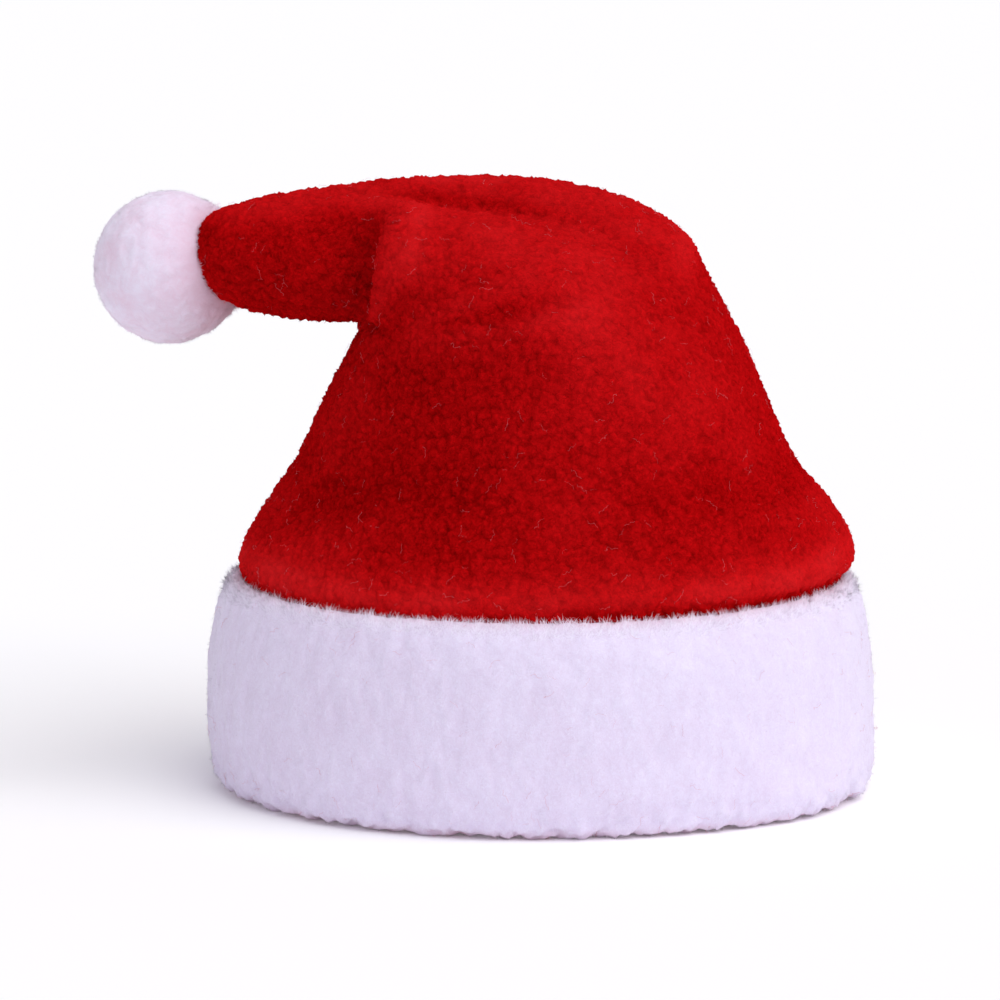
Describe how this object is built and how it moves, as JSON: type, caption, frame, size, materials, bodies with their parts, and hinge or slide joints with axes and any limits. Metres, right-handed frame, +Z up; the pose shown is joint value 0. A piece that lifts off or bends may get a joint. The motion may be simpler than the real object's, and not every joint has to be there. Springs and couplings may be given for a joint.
{
  "type": "pet santa hat",
  "caption": "Soft red fleece cone hat for a small pet, flopped over to one side, with a thick white plush cuff round its open mouth and a white plush ball on the tip.",
  "frame": {"origin": "middle of the head opening, on the surface that the cuff stands on", "axes": "+Z up, +X to the hat's right as seen from its front, -Y the front; the tip flops over to -X"},
  "size_m": [0.1291, 0.1008, 0.1001],
  "materials": {
    "red_fleece": "napped polyester fleece",
    "white_plush": "short-pile polyester plush",
    "pompom_plush": "felted polyester pile"
  },
  "bodies": {
    "root": {"crown": "red_fleece", "cuff": "white_plush", "pompom": "pompom_plush"}
  },
  "joints": []
}
